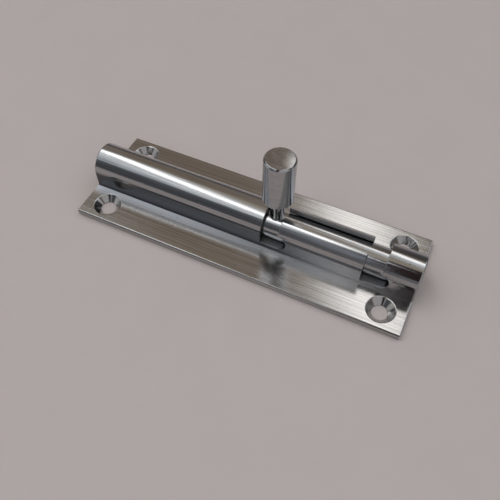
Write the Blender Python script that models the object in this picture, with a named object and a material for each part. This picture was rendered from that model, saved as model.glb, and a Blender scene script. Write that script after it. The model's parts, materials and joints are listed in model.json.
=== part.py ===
"""Surface-mounted barrel bolt: a plate with a slotted barrel, a sliding and turning bolt, and a knob.

The plate lies on z = 0 with its centre at the origin. The bolt slides along +X and turns about the
bore's axis. At rest it is drawn back, with its knob standing up in the first cross slot.
Lengths are in metres.
"""
import math

import bmesh
import bpy
from mathutils import Matrix, Vector

MM = 0.001

# Plate
PLATE_LENGTH = 100.0 * MM
PLATE_WIDTH = 34.1 * MM
PLATE_THICKNESS = 2.0 * MM
PLATE_EDGE_CHAMFER = 0.3 * MM

# Barrel: straight walls standing on the plate under a half-round crown, bored below the crown's centre
BARREL_RADIUS = 5.75 * MM
CROWN_HEIGHT = PLATE_THICKNESS + 5.05 * MM
AXIS_HEIGHT = PLATE_THICKNESS + 4.55 * MM
BORE_RADIUS = 4.6 * MM

# Slots cut through the barrel for the knob's shank
SLOT_WIDTH = 5.3 * MM
REAR_STATION = 7.75 * MM
FRONT_STATION = 37.65 * MM
CROSS_SLOT_FLOOR = PLATE_THICKNESS + 1.2 * MM
NOTCH_HEIGHT = 5.6 * MM
NOTCH_TRAVEL = 2.25 * MM

# Countersunk screw holes
SCREW_SPACING_X = 86.2 * MM
SCREW_SPACING_Y = 22.6 * MM
SCREW_HOLE_RADIUS = 2.25 * MM
SINK_RADIUS = 4.05 * MM

# Bolt
BOLT_RADIUS = 4.3 * MM
BOLT_REAR = -40.0 * MM
BOLT_TIP = 46.5 * MM
BOLT_END_CHAMFER = 0.6 * MM
GAP = 0.3 * MM

# Friction ring in its groove near the hidden end of the bolt
RING_STATION = -33.0 * MM
RING_WIDTH = 1.8 * MM
RING_INNER_RADIUS = 3.4 * MM

# Knob and its shank; heights are measured outwards from the bolt's axis
SHANK_RADIUS = 2.0 * MM
SPIGOT_RADIUS = 1.65 * MM
SPIGOT_END = 0.4 * MM
SEAT_HEIGHT = 3.4 * MM
KNOB_RADIUS = 4.32 * MM
KNOB_BASE = 11.3 * MM
KNOB_TOP = 26.5 * MM
KNOB_SOCKET_DEPTH = 8.0 * MM
KNOB_CHAMFER = 0.45 * MM

ROUND_STEPS = 56
SMALL_ROUND_STEPS = 32
RING_SECTION_STEPS = 12
MERGE_DISTANCE = 0.01 * MM
SMOOTH_ANGLE = math.radians(35)
OVERCUT = 2.0 * MM


def clear_scene():
    for obj in list(bpy.data.objects):
        bpy.data.objects.remove(obj, do_unlink=True)


def material(name, colour, roughness, metallic):
    made = bpy.data.materials.new(name)
    made.use_nodes = True
    shader = made.node_tree.nodes["Principled BSDF"]
    shader.inputs["Base Color"].default_value = (*colour, 1.0)
    shader.inputs["Roughness"].default_value = roughness
    shader.inputs["Metallic"].default_value = metallic
    return made


def add_object(name, mesh_builder, finish=None):
    """Make an object from a bmesh, smooth over its round faces."""
    mesh = bpy.data.meshes.new(name)
    bmesh.ops.recalc_face_normals(mesh_builder, faces=mesh_builder.faces)
    mesh_builder.to_mesh(mesh)
    mesh_builder.free()
    mesh.shade_smooth()
    mesh.set_sharp_from_angle(angle=SMOOTH_ANGLE)
    obj = bpy.data.objects.new(name, mesh)
    bpy.context.collection.objects.link(obj)
    if finish:
        mesh.materials.append(finish)
    return obj


def arc(centre, radius, start, end, steps):
    """Points along an arc, from start to end in degrees."""
    turns = [math.radians(start + (end - start) * i / steps) for i in range(steps + 1)]
    return [(centre[0] + radius * math.cos(a), centre[1] + radius * math.sin(a)) for a in turns]


def prism(name, outline, axis, start, end, finish=None):
    """Extrude an outline along X or Y. The outline is in (Y, Z) for X and in (X, Z) for Y."""
    place = {
        "X": lambda u, v: Vector((start, u, v)),
        "Y": lambda u, v: Vector((u, start, v)),
    }[axis]
    travel = {"X": Vector((end - start, 0, 0)), "Y": Vector((0, end - start, 0))}[axis]
    builder = bmesh.new()
    face = builder.faces.new([builder.verts.new(place(u, v)) for u, v in outline])
    grown = bmesh.ops.extrude_face_region(builder, geom=[face])
    moved = [item for item in grown["geom"] if isinstance(item, bmesh.types.BMVert)]
    bmesh.ops.translate(builder, verts=moved, vec=travel)
    return add_object(name, builder, finish)


def turned(name, profile, axis, steps, finish=None):
    """Turn a closed or axis-to-axis profile of (distance along the axis, radius) about X or Z."""
    closed = profile[0][1] > 0
    builder = bmesh.new()
    verts = [builder.verts.new(Vector((radius, 0, along))) for along, radius in profile]
    edges = [builder.edges.new(pair) for pair in zip(verts, verts[1:])]
    if closed:
        edges.append(builder.edges.new((verts[-1], verts[0])))
    bmesh.ops.spin(
        builder, geom=verts + edges, cent=(0, 0, 0), axis=(0, 0, 1),
        angle=math.tau, steps=steps, use_duplicate=False,
    )
    bmesh.ops.remove_doubles(builder, verts=builder.verts, dist=MERGE_DISTANCE)
    if axis == "X":
        bmesh.ops.rotate(builder, verts=builder.verts, matrix=Matrix.Rotation(math.pi / 2, 3, "Y"))
    return add_object(name, builder, finish)


def cut(obj, cutter):
    """Take the cutter's shape out of the object."""
    cutter.hide_render = True
    cutter.display_type = "WIRE"
    boolean = obj.modifiers.new(cutter.name, "BOOLEAN")
    boolean.operation = "DIFFERENCE"
    boolean.solver = "EXACT"
    boolean.object = cutter


def knob_slot_outline(station):
    """A slot that comes down over the barrel and ends in a round-ended notch towards the tip."""
    half = SLOT_WIDTH / 2
    notch_radius = NOTCH_HEIGHT / 2
    notch_end = station + NOTCH_TRAVEL
    middle = CROSS_SLOT_FLOOR + notch_radius
    top = CROWN_HEIGHT + BARREL_RADIUS + OVERCUT
    notch = arc((notch_end, middle), notch_radius, -90, 90, SMALL_ROUND_STEPS // 2)
    return [
        (station - half, CROSS_SLOT_FLOOR),
        *notch,
        (station + half, CROSS_SLOT_FLOOR + NOTCH_HEIGHT),
        (station + half, top),
        (station - half, top),
    ]


def make_body(finish):
    """Plate and barrel, one extruded section, drilled along its length and cut for the knob."""
    half_width = PLATE_WIDTH / 2
    edge = PLATE_EDGE_CHAMFER
    crown = arc((0, CROWN_HEIGHT), BARREL_RADIUS, 0, 180, ROUND_STEPS // 2)
    section = [
        (-half_width, 0),
        (half_width, 0),
        (half_width, PLATE_THICKNESS - edge),
        (half_width - edge, PLATE_THICKNESS),
        (BARREL_RADIUS, PLATE_THICKNESS),
        *crown,
        (-BARREL_RADIUS, PLATE_THICKNESS),
        (-half_width + edge, PLATE_THICKNESS),
        (-half_width, PLATE_THICKNESS - edge),
    ]
    body = prism("plate_and_barrel", section, "X", -PLATE_LENGTH / 2, PLATE_LENGTH / 2, finish)

    reach = PLATE_LENGTH / 2 + OVERCUT
    bore = turned("bore_cutter", [(-reach, 0), (-reach, BORE_RADIUS), (reach, BORE_RADIUS), (reach, 0)],
                  "X", ROUND_STEPS)
    bore.location.z = AXIS_HEIGHT
    cut(body, bore)

    half_slot = SLOT_WIDTH / 2
    top = CROWN_HEIGHT + BARREL_RADIUS + OVERCUT
    channel = [(-half_slot, AXIS_HEIGHT), (half_slot, AXIS_HEIGHT), (half_slot, top), (-half_slot, top)]
    cut(body, prism("long_slot_cutter", channel, "X", REAR_STATION, FRONT_STATION))

    side = BARREL_RADIUS + OVERCUT
    for label, station in (("rear", REAR_STATION), ("front", FRONT_STATION)):
        outline = knob_slot_outline(station)
        cut(body, prism(f"{label}_cross_slot_cutter", outline, "Y", -side, side))

    sink_depth = SINK_RADIUS - SCREW_HOLE_RADIUS
    screw_profile = [
        (-OVERCUT, 0),
        (-OVERCUT, SCREW_HOLE_RADIUS),
        (PLATE_THICKNESS - sink_depth, SCREW_HOLE_RADIUS),
        (PLATE_THICKNESS + PLATE_EDGE_CHAMFER, SINK_RADIUS + PLATE_EDGE_CHAMFER),
        (PLATE_THICKNESS + PLATE_EDGE_CHAMFER, 0),
    ]
    corners = [(-1, -1), (-1, 1), (1, -1), (1, 1)]
    for number, (end, flank) in enumerate(corners, start=1):
        screw = turned(f"screw_hole_cutter_{number}", screw_profile, "Z", SMALL_ROUND_STEPS)
        screw.location = (end * SCREW_SPACING_X / 2, flank * SCREW_SPACING_Y / 2, 0)
        cut(body, screw)
    return body


def make_bolt(finish, pivot):
    """Round bolt with chamfered ends, a groove for the friction ring and a seat for the knob."""
    groove_half = RING_WIDTH / 2 + GAP
    groove_floor = RING_INNER_RADIUS - GAP
    chamfer = BOLT_END_CHAMFER
    profile = [
        (BOLT_REAR, 0),
        (BOLT_REAR, BOLT_RADIUS - chamfer),
        (BOLT_REAR + chamfer, BOLT_RADIUS),
        (RING_STATION - groove_half, BOLT_RADIUS),
        (RING_STATION - groove_half, groove_floor),
        (RING_STATION + groove_half, groove_floor),
        (RING_STATION + groove_half, BOLT_RADIUS),
        (BOLT_TIP - chamfer, BOLT_RADIUS),
        (BOLT_TIP, BOLT_RADIUS - chamfer),
        (BOLT_TIP, 0),
    ]
    bolt = turned("bolt_rod", profile, "X", ROUND_STEPS, finish)
    bolt.parent = pivot
    seat_profile = [
        (SPIGOT_END - GAP, 0),
        (SPIGOT_END - GAP, SPIGOT_RADIUS + GAP),
        (SEAT_HEIGHT, SPIGOT_RADIUS + GAP),
        (SEAT_HEIGHT, SHANK_RADIUS + GAP),
        (BOLT_RADIUS + OVERCUT, SHANK_RADIUS + GAP),
        (BOLT_RADIUS + OVERCUT, 0),
    ]
    seat = turned("shank_seat_cutter", seat_profile, "Z", SMALL_ROUND_STEPS)
    seat.parent = pivot
    seat.location.x = REAR_STATION
    cut(bolt, seat)
    return bolt


def make_friction_ring(finish, pivot):
    """Rubber ring that rubs in the bore and keeps the bolt where it is put."""
    outer = BOLT_RADIUS
    middle = (RING_INNER_RADIUS + outer) / 2
    half_height = (outer - RING_INNER_RADIUS) / 2
    section = [
        (RING_WIDTH / 2 * math.cos(a), middle + half_height * math.sin(a))
        for a in (math.tau * i / RING_SECTION_STEPS for i in range(RING_SECTION_STEPS))
    ]
    ring = turned("friction_ring", section, "X", ROUND_STEPS, finish)
    ring.parent = pivot
    ring.location.x = RING_STATION
    return ring


def make_knob_shank(finish, pivot):
    """Shouldered shank with a spigot at each end, one screwed into the bolt and one into the knob."""
    profile = [
        (SPIGOT_END, 0),
        (SPIGOT_END, SPIGOT_RADIUS),
        (SEAT_HEIGHT + GAP, SPIGOT_RADIUS),
        (SEAT_HEIGHT + GAP, SHANK_RADIUS),
        (KNOB_BASE - GAP, SHANK_RADIUS),
        (KNOB_BASE - GAP, SPIGOT_RADIUS),
        (KNOB_BASE + KNOB_SOCKET_DEPTH - GAP, SPIGOT_RADIUS),
        (KNOB_BASE + KNOB_SOCKET_DEPTH - GAP, 0),
    ]
    shank = turned("knob_shank", profile, "Z", SMALL_ROUND_STEPS, finish)
    shank.parent = pivot
    shank.location.x = REAR_STATION
    return shank


def make_knob(finish, pivot):
    """Plain round grip with chamfered ends and a blind socket for the shank."""
    socket = SPIGOT_RADIUS + GAP
    chamfer = KNOB_CHAMFER
    profile = [
        (KNOB_BASE + KNOB_SOCKET_DEPTH, 0),
        (KNOB_BASE + KNOB_SOCKET_DEPTH, socket),
        (KNOB_BASE, socket),
        (KNOB_BASE, KNOB_RADIUS - chamfer),
        (KNOB_BASE + chamfer, KNOB_RADIUS),
        (KNOB_TOP - chamfer, KNOB_RADIUS),
        (KNOB_TOP, KNOB_RADIUS - chamfer),
        (KNOB_TOP, 0),
    ]
    knob = turned("knob_grip", profile, "Z", ROUND_STEPS, finish)
    knob.parent = pivot
    knob.location.x = REAR_STATION
    return knob


def main():
    clear_scene()
    polished = material("polished_chrome", (0.78, 0.77, 0.76), 0.12, 1.0)
    brushed = material("brushed_chrome", (0.72, 0.70, 0.68), 0.28, 1.0)
    rubber = material("black_rubber", (0.03, 0.03, 0.03), 0.8, 0.0)

    pivot = bpy.data.objects.new("bolt_axis", None)
    bpy.context.collection.objects.link(pivot)
    pivot.location.z = AXIS_HEIGHT

    make_body(brushed)
    make_bolt(polished, pivot)
    make_friction_ring(rubber, pivot)
    make_knob_shank(polished, pivot)
    make_knob(polished, pivot)


main()
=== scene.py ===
import json
import math

import bmesh
import bpy
from mathutils import Matrix, Vector


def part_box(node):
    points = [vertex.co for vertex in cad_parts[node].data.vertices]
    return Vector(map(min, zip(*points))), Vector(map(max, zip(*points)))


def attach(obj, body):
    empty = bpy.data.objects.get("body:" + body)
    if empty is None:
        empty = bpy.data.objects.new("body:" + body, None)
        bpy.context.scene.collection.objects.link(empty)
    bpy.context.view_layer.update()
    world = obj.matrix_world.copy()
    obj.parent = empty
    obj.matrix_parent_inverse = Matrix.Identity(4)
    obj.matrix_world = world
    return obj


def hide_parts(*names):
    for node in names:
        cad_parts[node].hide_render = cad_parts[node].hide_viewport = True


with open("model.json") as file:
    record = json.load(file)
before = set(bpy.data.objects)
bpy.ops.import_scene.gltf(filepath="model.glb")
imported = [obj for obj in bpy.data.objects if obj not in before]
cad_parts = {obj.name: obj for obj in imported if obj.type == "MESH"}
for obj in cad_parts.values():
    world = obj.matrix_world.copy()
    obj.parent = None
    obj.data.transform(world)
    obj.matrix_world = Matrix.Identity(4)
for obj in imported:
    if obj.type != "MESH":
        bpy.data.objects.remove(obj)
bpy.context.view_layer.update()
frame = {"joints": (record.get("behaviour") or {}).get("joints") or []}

MM = 0.001

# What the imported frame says
JOINTS = {joint["name"]: joint for joint in frame["joints"]}
AXIS_HEIGHT = JOINTS["bolt_turn"]["pos_m"][2]
THROW = JOINTS["bolt_slide"]["range_m"][1]
_, BODY_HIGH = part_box("plate_and_barrel")
ROD_LOW, ROD_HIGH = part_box("bolt_rod")
SHANK_LOW, SHANK_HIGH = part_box("knob_shank")
GRIP_LOW, GRIP_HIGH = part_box("knob_grip")
RING_LOW, RING_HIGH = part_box("friction_ring")

PLATE_END = BODY_HIGH.x
PLATE_SIDE = BODY_HIGH.y
ROD_RADIUS = (ROD_HIGH.y - ROD_LOW.y) / 2
SHANK_RADIUS = (SHANK_HIGH.y - SHANK_LOW.y) / 2
GRIP_RADIUS = (GRIP_HIGH.x - GRIP_LOW.x) / 2
REAR_STATION = (GRIP_LOW.x + GRIP_HIGH.x) / 2
FRONT_STATION = REAR_STATION + THROW
STATIONS = (REAR_STATION, FRONT_STATION)

# Sizes that the boxes don't give, as the CAD has them
PLATE_THICKNESS = 2.0 * MM
PLATE_EDGE_CHAMFER = 0.3 * MM
BARREL_RADIUS = 5.75 * MM
CROWN_HEIGHT = BODY_HIGH.z - BARREL_RADIUS
BORE_RADIUS = 4.6 * MM
SLOT_WIDTH = 5.3 * MM
CROSS_SLOT_FLOOR = PLATE_THICKNESS + 1.2 * MM
NOTCH_HEIGHT = 5.6 * MM
NOTCH_TRAVEL = 2.25 * MM
SCREW_SPACING_X = 86.2 * MM
SCREW_SPACING_Y = 22.6 * MM
SCREW_HOLE_RADIUS = 2.25 * MM
SINK_RADIUS = 4.05 * MM
RING_INNER_RADIUS = 3.4 * MM
GAP = 0.3 * MM

# Fine finish of the edges
JUNCTION_FILLET = 0.1 * MM
WIDEST_ROUND = 0.5 * MM
BARREL_END_ROUND = 0.45 * MM
SLOT_ROUND = 0.2 * MM
LIP_ROUND = 0.08 * MM
PLATE_EDGE_ROUND = 0.1 * MM
SINK_ROUND = 0.22 * MM
INNER_EDGE_ROUND = 0.07 * MM
MERGE_DISTANCE = 0.005 * MM
OVERCUT = 2.0 * MM
ROUNDED_ANGLE = math.radians(32)
SMOOTH_ANGLE = math.radians(30)
BEVEL_SEGMENTS = 3
FINE_ROUND_STEPS = 96
SCREW_HOLE_STEPS = 72
RING_SECTION_STEPS = 32
NOTCH_END_STEPS = 24
CORNER_STEPS = 5

# The body's finishes, in the order of its material slots
DRAWN, BRUSHED, MILLED, COUNTERSUNK, BORE_PAINTED_SHADE = range(5)

# Tones of the finishes; noise mixes the two of each pair
PLATING_TONES = ((0.350, 0.355, 0.365), (0.550, 0.550, 0.555))
BRUSHED_TONES = ((0.34, 0.33, 0.32), (0.56, 0.56, 0.56))
MILLED_TONES = ((0.30, 0.31, 0.33), (0.46, 0.47, 0.49))
COUNTERSUNK_TONES = ((0.36, 0.35, 0.34), (0.54, 0.53, 0.52))
# Near black inside the bore and on the cross slots' end walls: painted shade
BORE_PAINTED_SHADE_TONES = ((0.05, 0.048, 0.045), (0.12, 0.115, 0.11))
RUBBER_TONES = ((0.018, 0.018, 0.019), (0.042, 0.041, 0.040))
TABLE_TONES = ((0.610, 0.548, 0.530), (0.650, 0.585, 0.567))
TARNISH = (0.06, 0.055, 0.05)
# Painted shade on the barrel's walls below the crown
PAINTED_WALL_SHADE = (0.035, 0.037, 0.044)
MATT_WHITE = (0.84, 0.89, 0.98)
DRAWN_STREAKS = (60, 4200, 4200)
DRAWN_RELIEF = 0.008 * MM

# The photograph's camera, from a perspective fit of the plate and the barrel
CAMERA_PLACE = (0.04279, -0.09209, 0.13386)
CAMERA_AZIMUTH = math.radians(25.26)
CAMERA_ELEVATION = math.radians(54.98)
CAMERA_ROLL = math.radians(-0.25)
CAMERA_SENSOR = 36
CAMERA_LENS = 40.51
CAMERA_CLIP_START = 0.005

TABLE_HALF_SIZE = 3.0
TABLE_CLEARANCE = 0.00005
LAMP_PLACE = (-0.35, -0.3, 0.7)
LAMP_SIZE = 0.9
LAMP_POWER = 0.68


def new_object(name, builder, materials):
    mesh = bpy.data.meshes.new(name)
    bmesh.ops.recalc_face_normals(builder, faces=builder.faces)
    builder.to_mesh(mesh)
    builder.free()
    obj = bpy.data.objects.new(name, mesh)
    bpy.context.scene.collection.objects.link(obj)
    for item in materials:
        mesh.materials.append(item)
    return obj


def arc(centre, radius, start, end, steps):
    turns = [math.radians(start + (end - start) * i / steps) for i in range(steps + 1)]
    return [(centre[0] + radius * math.cos(a), centre[1] + radius * math.sin(a)) for a in turns]


def prism(name, outline, axis, start, end, materials=()):
    """Extrude an outline along X, from (Y, Z) points, or along Y, from (X, Z) points."""
    place = {"X": lambda u, v: Vector((start, u, v)), "Y": lambda u, v: Vector((u, start, v))}[axis]
    travel = {"X": Vector((end - start, 0, 0)), "Y": Vector((0, end - start, 0))}[axis]
    builder = bmesh.new()
    face = builder.faces.new([builder.verts.new(place(u, v)) for u, v in outline])
    grown = bmesh.ops.extrude_face_region(builder, geom=[face])
    moved = [item for item in grown["geom"] if isinstance(item, bmesh.types.BMVert)]
    bmesh.ops.translate(builder, verts=moved, vec=travel)
    return new_object(name, builder, materials)


def turned(name, profile, axis, centre, materials=(), steps=FINE_ROUND_STEPS):
    """Turn a profile of (distance along the axis, radius) about an axis through centre."""
    closed = profile[0][1] > 0
    builder = bmesh.new()
    verts = [builder.verts.new(Vector((radius, 0, along))) for along, radius in profile]
    edges = [builder.edges.new(pair) for pair in zip(verts, verts[1:])]
    if closed:
        edges.append(builder.edges.new((verts[-1], verts[0])))
    bmesh.ops.spin(
        builder, geom=verts + edges, cent=(0, 0, 0), axis=(0, 0, 1),
        angle=math.tau, steps=steps, use_duplicate=False,
    )
    bmesh.ops.remove_doubles(builder, verts=builder.verts, dist=MERGE_DISTANCE)
    if axis == "X":
        bmesh.ops.rotate(builder, verts=builder.verts, matrix=Matrix.Rotation(math.pi / 2, 3, "Y"))
    bmesh.ops.translate(builder, verts=builder.verts, vec=Vector(centre))
    return new_object(name, builder, materials)


def rounded(profile, radius):
    """Round the inner corners of a profile of points with arcs."""
    points = [profile[0]]
    for before, corner, after in zip(profile, profile[1:], profile[2:]):
        here = Vector(corner)
        back = Vector(before) - here
        ahead = Vector(after) - here
        opening = back.angle(ahead)
        reach = min(radius / math.tan(opening / 2), back.length * 0.45, ahead.length * 0.45)
        start = here + back.normalized() * reach
        end = here + ahead.normalized() * reach
        for i in range(CORNER_STEPS + 1):
            t = i / CORNER_STEPS
            spot = start.lerp(here, t).lerp(here.lerp(end, t), t)
            points.append((spot.x, spot.y))
    points.append(profile[-1])
    return points


def cut_away(obj, cutters):
    """Take the cutters' shapes out of the object for good, and remove them."""
    for cutter in cutters:
        boolean = obj.modifiers.new(cutter.name, "BOOLEAN")
        boolean.operation = "DIFFERENCE"
        boolean.solver = "EXACT"
        boolean.object = cutter
    apply_modifiers(obj)
    for cutter in cutters:
        bpy.data.objects.remove(cutter, do_unlink=True)


def apply_modifiers(obj):
    bpy.context.view_layer.update()
    evaluated = obj.evaluated_get(bpy.context.evaluated_depsgraph_get())
    made = bpy.data.meshes.new_from_object(evaluated)
    obj.modifiers.clear()
    old = obj.data
    obj.data = made
    made.name = obj.name
    bpy.data.meshes.remove(old)


def soften_edges(obj, width_at):
    """Round every sharp edge by the width that its place asks for."""
    builder = bmesh.new()
    builder.from_mesh(obj.data)
    bmesh.ops.dissolve_limit(
        builder, angle_limit=math.radians(0.05), verts=builder.verts, edges=builder.edges,
    )
    bmesh.ops.remove_doubles(builder, verts=builder.verts, dist=MERGE_DISTANCE)
    weights = builder.edges.layers.float.new("bevel_weight_edge")
    for edge in builder.edges:
        if edge.is_manifold and edge.calc_face_angle() > ROUNDED_ANGLE:
            middle = (edge.verts[0].co + edge.verts[1].co) / 2
            edge[weights] = width_at(middle) / WIDEST_ROUND
    builder.to_mesh(obj.data)
    builder.free()
    bevel = obj.modifiers.new("soft_edges", "BEVEL")
    bevel.width = WIDEST_ROUND
    bevel.segments = BEVEL_SEGMENTS
    bevel.limit_method = "WEIGHT"
    bevel.use_clamp_overlap = False
    bevel.miter_outer = "MITER_SHARP"
    apply_modifiers(obj)


def body_edge_width(spot):
    """How much each edge of the body is rounded."""
    near = 0.03 * MM
    radial = math.hypot(spot.y, spot.z - CROWN_HEIGHT)
    on_crown = spot.z >= CROWN_HEIGHT and abs(radial - BARREL_RADIUS) < near
    on_wall = PLATE_THICKNESS + near < spot.z < CROWN_HEIGHT and abs(abs(spot.y) - BARREL_RADIUS) < near
    if on_crown or on_wall:
        if abs(spot.x) > PLATE_END - near:
            return BARREL_END_ROUND
        if abs(abs(spot.y) - SLOT_WIDTH / 2) < near:
            return LIP_ROUND
        faces_tip = any(abs(spot.x - station + SLOT_WIDTH / 2) < near for station in STATIONS)
        return LIP_ROUND if faces_tip else SLOT_ROUND
    if abs(spot.x) > PLATE_END - near or abs(spot.y) > PLATE_SIDE - PLATE_EDGE_CHAMFER - near:
        return PLATE_EDGE_ROUND
    if abs(spot.y) > BARREL_RADIUS + MM and spot.z > PLATE_THICKNESS - near:
        return SINK_ROUND
    return INNER_EDGE_ROUND


def shade_smooth(obj):
    obj.data.shade_smooth()
    obj.data.set_sharp_from_angle(angle=SMOOTH_ANGLE)
    weighted = obj.modifiers.new("weighted_normals", "WEIGHTED_NORMAL")
    weighted.keep_sharp = True
    weighted.weight = 80
    apply_modifiers(obj)


def knob_slot_outline(station):
    """A cross slot seen from the side, with the round-ended notch at its foot."""
    half = SLOT_WIDTH / 2
    notch_radius = NOTCH_HEIGHT / 2
    middle = CROSS_SLOT_FLOOR + notch_radius
    top = CROWN_HEIGHT + BARREL_RADIUS + OVERCUT
    return [
        (station - half, CROSS_SLOT_FLOOR),
        *arc((station + NOTCH_TRAVEL, middle), notch_radius, -90, 90, NOTCH_END_STEPS),
        (station + half, CROSS_SLOT_FLOOR + NOTCH_HEIGHT),
        (station + half, top),
        (station - half, top),
    ]


def body_section():
    """The extruded section: plate, small fillets and the half-round barrel."""
    edge = PLATE_EDGE_CHAMFER
    fillet = JUNCTION_FILLET
    top = PLATE_THICKNESS
    right_fillet = arc((BARREL_RADIUS + fillet, top + fillet), fillet, 270, 180, CORNER_STEPS)
    left_fillet = arc((-BARREL_RADIUS - fillet, top + fillet), fillet, 0, -90, CORNER_STEPS)
    return [
        (-PLATE_SIDE, 0),
        (PLATE_SIDE, 0),
        (PLATE_SIDE, top - edge),
        (PLATE_SIDE - edge, top),
        *right_fillet,
        *arc((0, CROWN_HEIGHT), BARREL_RADIUS, 0, 180, FINE_ROUND_STEPS // 2),
        *left_fillet,
        (-PLATE_SIDE + edge, top),
        (-PLATE_SIDE, top - edge),
    ]


def make_body(materials):
    body = prism("plate_with_barrel", body_section(), "X", -PLATE_END, PLATE_END, materials)
    reach = PLATE_END + OVERCUT
    bore_profile = [(-reach, 0), (-reach, BORE_RADIUS), (reach, BORE_RADIUS), (reach, 0)]
    cutters = [turned("bore", bore_profile, "X", (0, 0, AXIS_HEIGHT))]
    half_slot = SLOT_WIDTH / 2
    top = CROWN_HEIGHT + BARREL_RADIUS + OVERCUT
    channel = [(-half_slot, AXIS_HEIGHT), (half_slot, AXIS_HEIGHT), (half_slot, top), (-half_slot, top)]
    cutters.append(prism("long_slot", channel, "X", REAR_STATION, FRONT_STATION))
    side = BARREL_RADIUS + OVERCUT
    for station in STATIONS:
        cutters.append(prism("cross_slot", knob_slot_outline(station), "Y", -side, side))
    sink_depth = SINK_RADIUS - SCREW_HOLE_RADIUS
    screw_profile = [
        (-OVERCUT, 0),
        (-OVERCUT, SCREW_HOLE_RADIUS),
        (PLATE_THICKNESS - sink_depth, SCREW_HOLE_RADIUS),
        (PLATE_THICKNESS + MM, SINK_RADIUS + MM),
        (PLATE_THICKNESS + MM, 0),
    ]
    for x in (-SCREW_SPACING_X / 2, SCREW_SPACING_X / 2):
        for y in (-SCREW_SPACING_Y / 2, SCREW_SPACING_Y / 2):
            cutters.append(turned("screw_hole", screw_profile, "Z", (x, y, 0), steps=SCREW_HOLE_STEPS))
    cut_away(body, cutters)
    soften_edges(body, body_edge_width)
    assign_finishes(body)
    shade_smooth(body)
    return body


def assign_finishes(body):
    """Give each face of the body the finish of its place."""
    wall = BARREL_RADIUS + JUNCTION_FILLET
    near = 0.05 * MM
    for face in body.data.polygons:
        spot = face.center
        if abs(spot.y) > wall:
            hole = math.hypot(abs(spot.x) - SCREW_SPACING_X / 2, abs(spot.y) - SCREW_SPACING_Y / 2)
            face.material_index = COUNTERSUNK if hole < SINK_RADIUS else BRUSHED
        # The bore and the cross slots' end walls take the near-black painted shade
        elif math.hypot(spot.y, spot.z - AXIS_HEIGHT) < BORE_RADIUS + near:
            face.material_index = BORE_PAINTED_SHADE
        elif abs(face.normal.x) > 0.7:
            face.material_index = BORE_PAINTED_SHADE if abs(spot.x) < PLATE_END - MM else MILLED
        elif spot.z < PLATE_THICKNESS:
            face.material_index = BRUSHED
        elif abs(abs(spot.y) - SLOT_WIDTH / 2) < near or on_slot_floor(spot):
            face.material_index = MILLED
        else:
            face.material_index = DRAWN


def on_slot_floor(spot):
    """Whether a place inside the barrel is on the floor or the round end of a cross slot."""
    near = 0.1 * MM
    inside = math.hypot(spot.y, max(spot.z - CROWN_HEIGHT, 0)) < BARREL_RADIUS - near
    behind = SLOT_WIDTH / 2 + near
    ahead = NOTCH_TRAVEL + NOTCH_HEIGHT / 2 + near
    return inside and any(-behind < spot.x - station < ahead for station in STATIONS)


def math_node(tree, operation, *values, clamp=False):
    node = tree.nodes.new("ShaderNodeMath")
    node.operation = operation
    node.use_clamp = clamp
    for socket, value in zip(node.inputs, values):
        if isinstance(value, bpy.types.NodeSocket):
            tree.links.new(value, socket)
        else:
            socket.default_value = value
    return node.outputs[0]


def smooth_step(tree, value, start, end, low=0.0, high=1.0):
    node = tree.nodes.new("ShaderNodeMapRange")
    node.interpolation_type = "SMOOTHSTEP"
    tree.links.new(value, node.inputs["Value"])
    for name, number in (("From Min", start), ("From Max", end), ("To Min", low), ("To Max", high)):
        node.inputs[name].default_value = number
    return node.outputs["Result"]


def falling(tree, value, start, end):
    return smooth_step(tree, value, start, end, 1.0, 0.0)


def product(tree, first, *others):
    for other in others:
        first = math_node(tree, "MULTIPLY", first, other)
    return first


def ramp(tree, factor, stops):
    """A colour ramp from stops of (position, colour)."""
    node = tree.nodes.new("ShaderNodeValToRGB")
    elements = node.color_ramp.elements
    while len(elements) > 1:
        elements.remove(elements[-1])
    for index, (position, colour) in enumerate(stops):
        element = elements[0] if index == 0 else elements.new(position)
        element.position = position
        element.color = (*colour, 1)
    tree.links.new(factor, node.inputs["Fac"])
    return node.outputs["Color"]


def mix_colours(tree, factor, first, second, blend="MIX"):
    node = tree.nodes.new("ShaderNodeMix")
    node.data_type = "RGBA"
    node.blend_type = blend
    for socket, value in ((node.inputs[0], factor), (node.inputs[6], first), (node.inputs[7], second)):
        if isinstance(value, bpy.types.NodeSocket):
            tree.links.new(value, socket)
        elif isinstance(value, (int, float)):
            socket.default_value = value
        else:
            socket.default_value = (*value, 1)
    return node.outputs[2]


def noise(tree, scale, detail=3.0, roughness=0.55):
    """Noise over the object's own coordinates, with a scale per metre for each axis."""
    mapping = tree.nodes.new("ShaderNodeMapping")
    mapping.inputs["Scale"].default_value = scale
    tree.links.new(tree.nodes.new("ShaderNodeTexCoord").outputs["Object"], mapping.inputs["Vector"])
    node = tree.nodes.new("ShaderNodeTexNoise")
    node.inputs["Scale"].default_value = 1.0
    node.inputs["Detail"].default_value = detail
    node.inputs["Roughness"].default_value = roughness
    tree.links.new(mapping.outputs[0], node.inputs["Vector"])
    return node.outputs["Fac"]


def object_axes(tree):
    split = tree.nodes.new("ShaderNodeSeparateXYZ")
    tree.links.new(tree.nodes.new("ShaderNodeTexCoord").outputs["Object"], split.inputs[0])
    return split.outputs


def bump(tree, height, distance):
    node = tree.nodes.new("ShaderNodeBump")
    node.inputs["Strength"].default_value = 1.0
    node.inputs["Distance"].default_value = distance
    tree.links.new(height, node.inputs["Height"])
    return node.outputs["Normal"]


def new_material(name):
    made = bpy.data.materials.new(name)
    made.use_nodes = True
    return made, made.node_tree, made.node_tree.nodes["Principled BSDF"]


def new_metal(name):
    made, tree, shader = new_material(name)
    shader.inputs["Metallic"].default_value = 1.0
    return made, tree, shader


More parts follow.
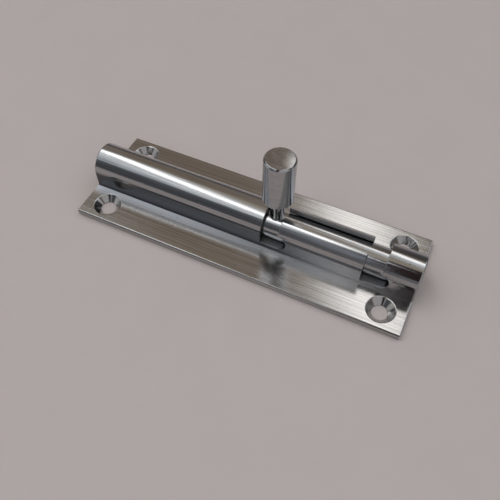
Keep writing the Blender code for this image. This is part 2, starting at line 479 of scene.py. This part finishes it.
def finish_surface(tree, shader, tones, tone_factor, roughness, rough_factor, normal, film=None):
    """Join a surface's colour and roughness, each between two values by a factor, and its normal.

    A film is a colour that lies over the rest by its own factor.
    """
    colour = mix_colours(tree, tone_factor, *tones)
    if film:
        colour = mix_colours(tree, film[0], colour, film[1])
    # A few tarnished specks
    specks = smooth_step(tree, noise(tree, (1300, 1300, 1300), 2.0), 0.73, 0.77, 0.0, 0.8)
    colour = mix_colours(tree, specks, colour, TARNISH)
    tree.links.new(colour, shader.inputs["Base Color"])
    spread = math_node(tree, "MULTIPLY_ADD", rough_factor, roughness[1] - roughness[0], roughness[0])
    tree.links.new(spread, shader.inputs["Roughness"])
    tree.links.new(normal, shader.inputs["Normal"])


def polished_metal(name, streak_scale, relief, walls=False):
    """Bright plating over fine streaks, which have a scale per metre for each axis.

    A barrel's walls get painted shade below the crown, darkest down in the plate's corner.
    """
    made, tree, shader = new_metal(name)
    streaks = noise(tree, streak_scale, 5.0, 0.75)
    clouds = noise(tree, (180, 180, 180), 3.0)
    wear = noise(tree, (1400, 1400, 1400), 4.0, 0.7)
    pits = smooth_step(tree, wear, 0.56, 0.72)
    rough = math_node(tree, "MULTIPLY_ADD", clouds, 0.35, math_node(tree, "MULTIPLY", pits, 0.45))
    rough = math_node(tree, "MULTIPLY_ADD", streaks, 0.35, rough, clamp=True)
    film = None
    if walls:
        x, _, height = object_axes(tree)
        crown, plate = CROWN_HEIGHT, PLATE_THICKNESS
        below_crown = smooth_step(tree, height, crown - 0.2 * MM, crown + 1.3 * MM, 0.85, 0.0)
        corner = smooth_step(tree, height, plate + 0.3 * MM, plate + 1.8 * MM, 0.15, 0.0)
        painted_shade = math_node(tree, "ADD", below_crown, corner)
        # Towards the tip the painted shade fades out, and the keeper in front of the long slot is
        # polished most
        fading = smooth_step(tree, x, REAR_STATION, FRONT_STATION + SLOT_WIDTH / 2, 1.0, 0.1)
        # The film is painted shade, darkening the walls below the crown and in the corner
        film = (math_node(tree, "MULTIPLY", painted_shade, fading), PAINTED_WALL_SHADE)
        keeper = smooth_step(tree, x, FRONT_STATION, FRONT_STATION + SLOT_WIDTH / 2, 1.0, 0.25)
        rough = math_node(tree, "MULTIPLY", rough, keeper)
    lines = smooth_step(tree, streaks, 0.3, 0.7)
    normal = bump(tree, streaks, relief)
    finish_surface(tree, shader, PLATING_TONES, lines, (0.06, 0.22), rough, normal, film)
    return made


def brushed_metal(name):
    """Plating over a straight grain along the plate, left matt white beside the barrel's rear."""
    made, tree, shader = new_metal(name)
    fine = noise(tree, (35, 7500, 7500), 3.0, 0.7)
    broad = noise(tree, (10, 2300, 2300), 3.0, 0.6)
    grain = math_node(tree, "MULTIPLY_ADD", broad, 0.35, math_node(tree, "MULTIPLY", fine, 0.65))
    x, y, _ = object_axes(tree)
    beside = falling(tree, math_node(tree, "ABSOLUTE", y), 6.3 * MM, 9.8 * MM)
    rearward = falling(tree, x, -30 * MM, 44 * MM)
    matt = math_node(tree, "MULTIPLY", beside, rearward)
    rough = math_node(tree, "MULTIPLY_ADD", matt, 2.6, grain)
    tree.links.new(math_node(tree, "MULTIPLY_ADD", matt, -0.92, 1.0), shader.inputs["Metallic"])
    lines = smooth_step(tree, grain, 0.35, 0.65)
    scratched = math_node(tree, "MULTIPLY", matt, math_node(tree, "MULTIPLY_ADD", lines, 0.35, 0.68))
    normal = bump(tree, grain, 0.010 * MM)
    film = (scratched, MATT_WHITE)
    finish_surface(tree, shader, BRUSHED_TONES, lines, (0.08, 0.20), rough, normal, film)
    return made


def milled_metal(name, tones, roughness):
    """Plating over the marks that a cutter left."""
    made, tree, shader = new_metal(name)
    marks = noise(tree, (3200, 900, 900), 3.0, 0.6)
    finish_surface(tree, shader, tones, marks, roughness, marks, bump(tree, marks, 0.004 * MM))
    return made


def moulded_rubber(name):
    """Black rubber, a little chalky, with the fine pitting of its mould."""
    made, tree, shader = new_material(name)
    shader.inputs["Specular IOR Level"].default_value = 0.4
    bloom = noise(tree, (900, 900, 900), 4.0, 0.6)
    pitting = noise(tree, (6000, 6000, 6000), 3.0, 0.65)
    normal = bump(tree, pitting, 0.02 * MM)
    finish_surface(tree, shader, RUBBER_TONES, bloom, (0.5, 0.75), pitting, normal)
    return made


def turned_rings(tree, radius, pitch):
    """Fine rings around an axis, from the distance to it."""
    wave = math_node(tree, "SINE", math_node(tree, "MULTIPLY", radius, math.tau / pitch))
    return math_node(tree, "MULTIPLY_ADD", wave, 0.5, 0.5)


def countersunk_metal(name):
    """Plating over the rings that the countersinking tool left around each screw hole."""
    made, tree, shader = new_metal(name)
    x, y, _ = object_axes(tree)
    from_x = math_node(tree, "SUBTRACT", math_node(tree, "ABSOLUTE", x), SCREW_SPACING_X / 2)
    from_y = math_node(tree, "SUBTRACT", math_node(tree, "ABSOLUTE", y), SCREW_SPACING_Y / 2)
    from_y_squared = math_node(tree, "MULTIPLY", from_y, from_y)
    square = math_node(tree, "MULTIPLY_ADD", from_x, from_x, from_y_squared)
    rings = turned_rings(tree, math_node(tree, "SQRT", square), 0.32 * MM)
    chatter = noise(tree, (1800, 1800, 1800), 3.0)
    uneven = math_node(tree, "MULTIPLY", rings, chatter)
    normal = bump(tree, uneven, 0.012 * MM)
    finish_surface(tree, shader, COUNTERSUNK_TONES, chatter, (0.04, 0.14), uneven, normal)
    return made


def make_rod(materials):
    """Round bolt with softened ends and the groove that holds its friction ring."""
    edge = 0.6 * MM
    groove_rear, groove_front = RING_LOW.x - GAP, RING_HIGH.x + GAP
    groove_radius = RING_INNER_RADIUS - GAP
    profile = [
        (ROD_LOW.x, 0),
        (ROD_LOW.x, ROD_RADIUS - edge),
        (ROD_LOW.x + edge, ROD_RADIUS),
        (groove_rear, ROD_RADIUS),
        (groove_rear, groove_radius),
        (groove_front, groove_radius),
        (groove_front, ROD_RADIUS),
        (ROD_HIGH.x - edge, ROD_RADIUS),
        (ROD_HIGH.x, ROD_RADIUS - edge),
        (ROD_HIGH.x, 0),
    ]
    rod = turned("polished_bolt", rounded(profile, 0.3 * MM), "X", (0, 0, AXIS_HEIGHT), materials)
    shade_smooth(rod)
    return rod


def make_ring(materials):
    """Moulded rubber ring of oval section, lying in the bolt's groove."""
    outer = (RING_HIGH.y - RING_LOW.y) / 2
    middle = (RING_INNER_RADIUS + outer) / 2
    half_height = (outer - RING_INNER_RADIUS) / 2
    half_width = (RING_HIGH.x - RING_LOW.x) / 2
    centre = ((RING_LOW.x + RING_HIGH.x) / 2, 0, AXIS_HEIGHT)
    turns = [math.tau * i / RING_SECTION_STEPS for i in range(RING_SECTION_STEPS)]
    section = [(half_width * math.cos(a), middle + half_height * math.sin(a)) for a in turns]
    ring = turned("rubber_ring", section, "X", centre, materials)
    shade_smooth(ring)
    return ring


def make_shank(materials):
    """The shank, running a little way into the grip."""
    base = SHANK_LOW.z
    top = GRIP_LOW.z + 0.1 * MM
    profile = [(base, 0), (base, SHANK_RADIUS), (top, SHANK_RADIUS), (top, 0)]
    shank = turned("shank", rounded(profile, 0.1 * MM), "Z", (REAR_STATION, 0, 0), materials)
    shade_smooth(shank)
    return shank


def make_grip(materials):
    """The round grip, with a softened chamfer at both ends."""
    edge = 0.45 * MM
    profile = [
        (GRIP_LOW.z, 0),
        (GRIP_LOW.z, GRIP_RADIUS - edge),
        (GRIP_LOW.z + edge, GRIP_RADIUS),
        (GRIP_HIGH.z - edge, GRIP_RADIUS),
        (GRIP_HIGH.z, GRIP_RADIUS - edge),
        (GRIP_HIGH.z, 0),
    ]
    grip = turned("grip", rounded(profile, 0.25 * MM), "Z", (REAR_STATION, 0, 0), materials)
    shade_smooth(grip)
    return grip


def make_camera():
    camera = bpy.data.objects.new("camera", bpy.data.cameras.new("camera"))
    bpy.context.scene.collection.objects.link(camera)
    forward = Vector((
        -math.sin(CAMERA_AZIMUTH) * math.cos(CAMERA_ELEVATION),
        math.cos(CAMERA_AZIMUTH) * math.cos(CAMERA_ELEVATION),
        -math.sin(CAMERA_ELEVATION),
    ))
    turn = forward.to_track_quat("-Z", "Y").to_matrix() @ Matrix.Rotation(CAMERA_ROLL, 3, "Z")
    camera.matrix_world = Matrix.Translation(CAMERA_PLACE) @ turn.to_4x4()
    camera.data.sensor_width = CAMERA_SENSOR
    camera.data.lens = CAMERA_LENS
    camera.data.clip_start = CAMERA_CLIP_START
    bpy.context.scene.camera = camera


def make_floor():
    """A plain pale table."""
    builder = bmesh.new()
    bmesh.ops.create_grid(builder, x_segments=2, y_segments=2, size=TABLE_HALF_SIZE)
    made, tree, shader = new_material("table")
    mottle = noise(tree, (60, 60, 60), 4.0, 0.6)
    colour = mix_colours(tree, mottle, *TABLE_TONES)
    tree.links.new(colour, shader.inputs["Base Color"])
    shader.inputs["Roughness"].default_value = 0.7
    floor = new_object("table", builder, [made])
    floor.location.z = -TABLE_CLEARANCE


def make_lamp():
    """A soft lamp high on the left; its own image isn't seen in the metal."""
    data = bpy.data.lights.new("overhead_lamp", "AREA")
    data.size = LAMP_SIZE
    data.energy = LAMP_POWER
    lamp = bpy.data.objects.new("overhead_lamp", data)
    bpy.context.scene.collection.objects.link(lamp)
    lamp.location = LAMP_PLACE
    lamp.rotation_euler = (-lamp.location).to_track_quat("-Z", "Y").to_euler()
    lamp.visible_glossy = False


# The studio's ceiling: two long parallel soft panels over a dim room. Places on the ceiling are
# counted in ceiling heights, across the panels from the point straight above the object.
PANEL_HEADING = math.radians(-62.6)
LEFT_PANEL = {
    "across": -0.405, "half_width": 0.075, "edge": 0.03, "glow": 2.0,
    "near_end": (-0.80, -0.64), "far_end": (0.38, 0.70),
}
RIGHT_PANEL = {
    "across": 0.27, "half_width": 0.075, "edge": 0.06, "glow": 1.8,
    "near_end": (-1.15, -0.85), "far_end": (-0.45, -0.15),
}

# The ceiling's colours from left to right, two ceiling heights to each side of the object
CEILING_STOPS = [
    (0.00, (0.10, 0.11, 0.12)),
    (0.22, (0.48, 0.52, 0.56)),
    (0.29, (0.56, 0.60, 0.64)),
    (0.315, (0.86, 0.90, 0.94)),
    (0.34, (1.05, 1.08, 1.10)),
    (0.37, (0.80, 0.82, 0.84)),
    (0.415, (0.86, 0.86, 0.86)),
    (0.438, (0.80, 0.79, 0.77)),
    (0.453, (0.52, 0.47, 0.41)),
    (0.475, (0.44, 0.38, 0.30)),
    (0.50, (0.42, 0.38, 0.33)),
    (0.525, (0.75, 0.76, 0.76)),
    (0.545, (0.95, 0.97, 0.97)),
    (0.60, (0.62, 0.62, 0.60)),
    (0.66, (0.22, 0.19, 0.16)),
    (1.00, (0.14, 0.12, 0.10)),
]
FAR_BACK = (0.245, 0.195, 0.155)
BACK_CORNER = (0.09, 0.08, 0.075)
CEILING_SHADE = (0.22, 0.22, 0.22)
LOW_WALL = ((0.085, 0.088, 0.098), (0.17, 0.17, 0.18))
HIGH_WALL = ((0.115, 0.118, 0.13), (0.40, 0.43, 0.48))
PALE_WALL = (0.52, 0.52, 0.53)
WINDOW_LIGHT = (1.05, 1.12, 1.24)
SCREEN = (0.035, 0.022, 0.022)
SCREEN_GAP = (0.62, 0.62, 0.66)


def panel(tree, across, along, setting):
    """The light of one long soft-edged panel, rising at one end and fading at the other."""
    offset = math_node(tree, "ABSOLUTE", math_node(tree, "SUBTRACT", across, setting["across"]))
    inner = setting["half_width"] - setting["edge"]
    outer = setting["half_width"] + setting["edge"]
    band = falling(tree, offset, inner, outer)
    near_end = smooth_step(tree, along, *setting["near_end"])
    far_end = falling(tree, along, *setting["far_end"])
    length = product(tree, near_end, far_end)
    return product(tree, band, length, setting["glow"])


def ceiling(tree, across, right, back):
    """The ceiling, bright beside the panels, dim far back and over the front right."""
    place = math_node(tree, "MULTIPLY_ADD", across, 0.25, 0.5, clamp=True)
    room = ramp(tree, place, CEILING_STOPS)
    room = mix_colours(tree, smooth_step(tree, back, 0.35, 0.62, 0.0, 0.94), room, FAR_BACK)
    corner = product(tree, smooth_step(tree, right, -0.12, -0.02), smooth_step(tree, back, 0.9, 1.2))
    room = mix_colours(tree, corner, room, BACK_CORNER)
    shaded = product(tree, smooth_step(tree, right, -0.34, -0.16), falling(tree, back, -0.85, -0.60))
    shade = mix_colours(tree, 1.0, room, CEILING_SHADE, "MULTIPLY")
    return mix_colours(tree, shaded, room, shade)


def add_walls(tree, room, x, y, z, back):
    """Close the room with a wall in front, darker low down and on the left."""
    side = smooth_step(tree, x, -0.28, -0.05)
    low_wall = mix_colours(tree, side, *LOW_WALL)
    high_wall = mix_colours(tree, side, *HIGH_WALL)
    wall = mix_colours(tree, smooth_step(tree, z, 0.28, 0.62), low_wall, high_wall)
    room = mix_colours(tree, falling(tree, back, -1.12, -0.90), room, wall)
    room = mix_colours(tree, smooth_step(tree, z, 0.05, 0.40), low_wall, room)
    # Pale walls stand farther round to both sides of the front
    to_right = smooth_step(tree, x, 0.14, 0.36)
    to_left = falling(tree, x, -0.74, -0.58)
    to_sides = math_node(tree, "ADD", to_right, to_left)
    return mix_colours(tree, product(tree, to_sides, falling(tree, y, -0.25, 0.0)), room, PALE_WALL)


def add_window(tree, room, right, back, z):
    """To the back right a pale blue light, such as a window's, fades towards the horizon."""
    window = product(
        tree, smooth_step(tree, right, 0.10, 0.40), smooth_step(tree, z, 0.28, 0.80),
        smooth_step(tree, back, 0.10, 0.45), falling(tree, back, 1.3, 1.7),
    )
    return mix_colours(tree, window, room, WINDOW_LIGHT)


def add_screen(tree, lights, right, back, x, z):
    """A dark screen with a gap stands at the front right, and the bright metal shows it."""
    screen = product(
        tree, smooth_step(tree, right, -0.09, -0.03), falling(tree, back, -0.42, -0.28),
        smooth_step(tree, z, 0.22, 0.36), falling(tree, x, 0.12, 0.28),
    )
    gap = product(
        tree, smooth_step(tree, back, -0.72, -0.66), falling(tree, back, -0.58, -0.50),
        falling(tree, right, -0.01, 0.025), screen,
    )
    lights = mix_colours(tree, screen, lights, SCREEN)
    return mix_colours(tree, gap, lights, SCREEN_GAP)


def make_world():
    """The studio that the metal reflects, worked out from the direction looked in."""
    world = bpy.data.worlds.new("studio")
    bpy.context.scene.world = world
    world.use_nodes = True
    tree = world.node_tree
    way = tree.nodes.new("ShaderNodeTexCoord").outputs["Generated"]
    split = tree.nodes.new("ShaderNodeSeparateXYZ")
    tree.links.new(way, split.inputs[0])
    x, y, z = split.outputs
    height = math_node(tree, "MAXIMUM", z, 0.02)
    right = math_node(tree, "DIVIDE", x, height)
    back = math_node(tree, "DIVIDE", y, height)
    sine, cosine = math.sin(PANEL_HEADING), math.cos(PANEL_HEADING)
    across = math_node(tree, "SUBTRACT", product(tree, back, cosine), product(tree, right, sine))
    along = math_node(tree, "ADD", product(tree, right, cosine), product(tree, back, sine))
    room = add_walls(tree, ceiling(tree, across, right, back), x, y, z, back)
    lights = add_window(tree, room, right, back, z)
    for setting in (LEFT_PANEL, RIGHT_PANEL):
        lights = mix_colours(tree, 1.0, lights, panel(tree, across, along, setting), "ADD")
    lights = add_screen(tree, lights, right, back, x, z)
    tree.links.new(lights, tree.nodes["Background"].inputs["Color"])


def main():
    bpy.context.scene.view_settings.view_transform = "Standard"
    drawn = polished_metal("drawn_plating", DRAWN_STREAKS, DRAWN_RELIEF)
    barrel = polished_metal("barrel_plating", DRAWN_STREAKS, DRAWN_RELIEF, walls=True)
    spun = polished_metal("spun_plating", (300, 300, 6000), 0.003 * MM)
    body_finishes = [
        barrel,
        brushed_metal("brushed_plating"),
        milled_metal("milled_plating", MILLED_TONES, (0.30, 0.48)),
        countersunk_metal("countersunk_plating"),
        # Painted shade, near black, for the bore and the cross slots' end walls
        milled_metal("bored_metal", BORE_PAINTED_SHADE_TONES, (0.35, 0.5)),
    ]
    make_camera()
    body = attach(make_body(body_finishes), "housing")
    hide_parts("plate_and_barrel")
    for maker, node, finish in (
        (make_rod, "bolt_rod", drawn), (make_shank, "knob_shank", spun), (make_grip, "knob_grip", spun),
    ):
        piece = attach(maker([finish]), "bolt")
        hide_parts(node)
    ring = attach(make_ring([moulded_rubber("ring_rubber")]), "slide_ring")
    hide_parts("friction_ring")
    make_floor()
    make_lamp()
    make_world()


main()
